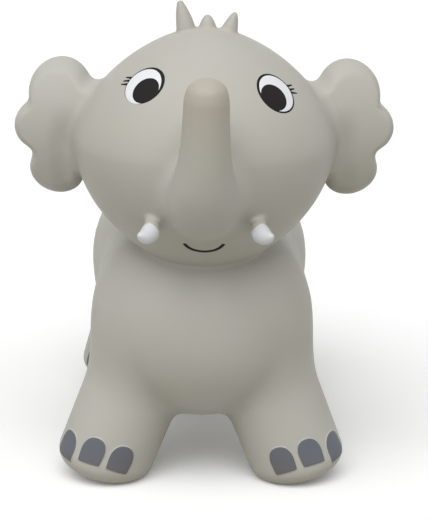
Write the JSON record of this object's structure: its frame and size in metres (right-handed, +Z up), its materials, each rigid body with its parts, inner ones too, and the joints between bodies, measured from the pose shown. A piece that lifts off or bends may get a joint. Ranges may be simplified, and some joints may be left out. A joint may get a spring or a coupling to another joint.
{
  "type": "elephant hopper",
  "caption": "Air-filled soft plastic elephant with splayed stub legs, a raised trunk, lobed ears that flex and a plugged air valve, for a small child to sit and bounce on.",
  "frame": {"origin": "on the floor under the middle of the toy's bounding box", "axes": "+Z up, -Y the way the face looks, +X to the rider's left"},
  "size_m": [0.3808, 0.5526, 0.5029],
  "materials": {
    "skin": "satin soft PVC skin, warm light grey",
    "tusk_paint": "satin off-white paint on soft PVC",
    "nail_paint": "satin slate grey paint",
    "eye_paint": "satin white paint",
    "black_paint": "satin near-black paint",
    "valve": "smooth off-white plastic"
  },
  "bodies": {
    "hopper": {"torso": "skin", "head": "skin", "trunk": "skin", "hair_tuft": "skin", "tail": "skin", "left_tusk": "tusk_paint", "right_tusk": "tusk_paint", "left_front_leg": "skin", "right_front_leg": "skin", "left_rear_leg": "skin", "right_rear_leg": "skin", "left_front_inner_nail": "nail_paint", "left_front_middle_nail": "nail_paint", "left_front_outer_nail": "nail_paint", "right_front_inner_nail": "nail_paint", "right_front_middle_nail": "nail_paint", "right_front_outer_nail": "nail_paint", "left_rear_inner_nail": "nail_paint", "left_rear_middle_nail": "nail_paint", "left_rear_outer_nail": "nail_paint", "right_rear_inner_nail": "nail_paint", "right_rear_middle_nail": "nail_paint", "right_rear_outer_nail": "nail_paint", "left_eye_rim": "black_paint", "left_eye_white": "eye_paint", "left_pupil": "black_paint", "left_lash_1": "black_paint", "left_lash_2": "black_paint", "left_lash_3": "black_paint", "right_eye_rim": "black_paint", "right_eye_white": "eye_paint", "right_pupil": "black_paint", "right_lash_1": "black_paint", "right_lash_2": "black_paint", "right_lash_3": "black_paint", "mouth": "black_paint", "valve_bush": "valve"},
    "left_ear": {"left_ear": "skin"},
    "right_ear": {"right_ear": "skin"},
    "valve_plug": {"valve_plug": "valve"}
  },
  "joints": [
    {"name": "left_ear_flex", "type": "hinge", "parent": "hopper", "child": "left_ear", "pos_m": [0.13403, -0.07893, 0.374], "axis": [0, 0, 1], "range_deg": [-15, 15], "stiffness_Nm_per_rad": 2},
    {"name": "right_ear_flex", "type": "hinge", "parent": "hopper", "child": "right_ear", "pos_m": [-0.13403, -0.07893, 0.374], "axis": [0, 0, -1], "range_deg": [-15, 15], "stiffness_Nm_per_rad": 2},
    {"name": "valve_plug_pull", "type": "slide", "parent": "hopper", "child": "valve_plug", "axis": [0, 0, -1], "range_m": [0, 0.026]}
  ]
}
